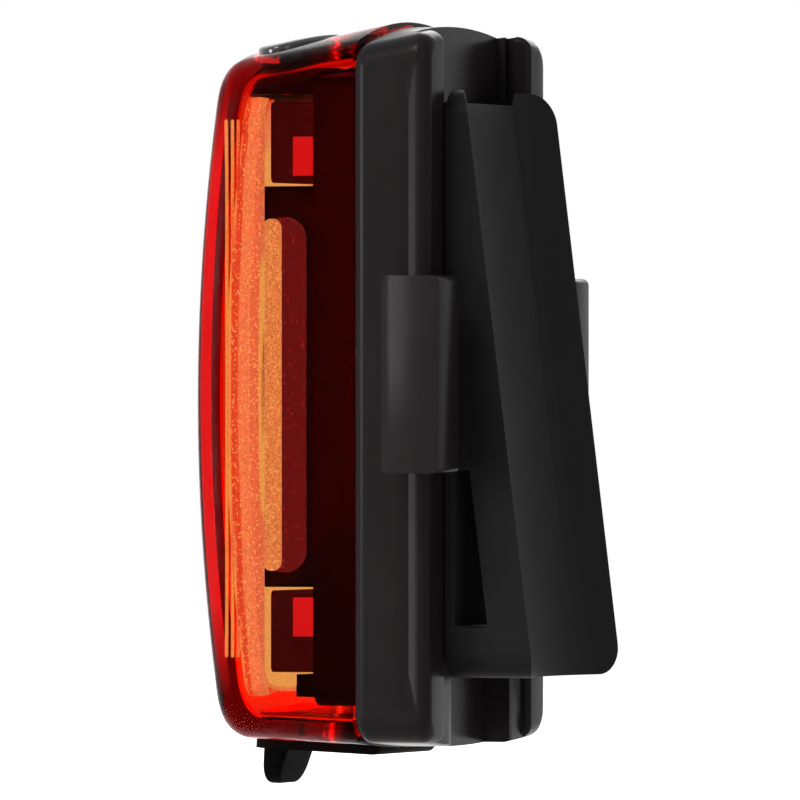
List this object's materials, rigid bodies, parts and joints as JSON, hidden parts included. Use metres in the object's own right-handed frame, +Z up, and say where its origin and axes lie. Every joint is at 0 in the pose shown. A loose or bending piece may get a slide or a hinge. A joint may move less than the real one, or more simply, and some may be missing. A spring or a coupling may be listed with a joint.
{
  "type": "bicycle rear light",
  "caption": "Upright red bicycle rear light with strap hooks, a slide-on concave seat-post pad, a top button and a covered charging port.",
  "frame": {"origin": "middle of the rail floor on the back of the housing, where the pad's runner lies", "axes": "+X is across the light, +Y is backward towards the seat post (the lens looks along -Y), +Z is up"},
  "size_m": [0.0444, 0.0356, 0.0747],
  "materials": {
    "case_black": "fine satin grain",
    "lens_red": "clear red, polished",
    "rubber_black": "soft, fine grain",
    "seal_red": "soft",
    "button_black": "smooth, semi-gloss",
    "frame_black": "satin",
    "board_green": "solder-mask lacquer",
    "chip_black": "moulded epoxy",
    "battery_foil": "pouch foil",
    "foam": "open foam",
    "wire_red": "insulated wire",
    "screw_steel": "plain",
    "carrier": "satin",
    "strip_red": "lacquered strip",
    "phosphor": "cast silicone bar",
    "reflector": "satin",
    "emitter": "cast lens",
    "diffuser": "finely ribbed, translucent",
    "port_metal": "drawn shell",
    "switch_black": "moulded"
  },
  "bodies": {
    "case": {"battery_cell": "battery_foil", "battery_foam": "foam", "battery_guard": "board_green", "battery_leads": "wire_red", "board_chips": "chip_black", "button_board": "board_green", "button_membrane": "rubber_black", "case_screws": "screw_steel", "cover_anchor": "rubber_black", "crown_mask": "switch_black", "diffuser": "diffuser", "front_phosphor": "phosphor", "front_strip": "strip_red", "inner_frame": "frame_black", "led_core": "carrier", "lens": "lens_red", "lens_seal": "seal_red", "lower_emitters": "emitter", "lower_reflector": "reflector", "main_board": "board_green", "port_collar": "rubber_black", "rear_housing": "case_black", "side_phosphors": "phosphor", "side_strips": "strip_red", "switch_body": "switch_black", "upper_emitters": "emitter", "upper_reflector": "reflector", "usb_shell": "port_metal", "usb_tongue": "chip_black"},
    "button": {"button_cap": "button_black"},
    "plunger": {"switch_plunger": "switch_black"},
    "cover": {"port_cover": "rubber_black"},
    "pad": {"post_pad": "rubber_black"}
  },
  "joints": [
    {"name": "button_press", "type": "slide", "parent": "case", "child": "button", "axis": [0, 0, -1], "range_m": [0, 0.00035], "stiffness_N_per_m": 4000, "springref_m": -0.0001},
    {"name": "plunger_press", "type": "slide", "parent": "case", "child": "plunger", "axis": [0, 0, -1], "range_m": [0, 0.00035]},
    {"name": "cover_swing", "type": "hinge", "parent": "case", "child": "cover", "pos_m": [0, -0.00574, -0.03508], "axis": [1, 0, 0], "range_deg": [0, 110]},
    {"name": "pad_slide", "type": "slide", "parent": "case", "child": "pad", "axis": [0, 0, 1], "range_m": [0, 0.062]}
  ],
  "couplings": [
    {"joint": "plunger_press", "follows": "button_press", "ratio": 1}
  ]
}
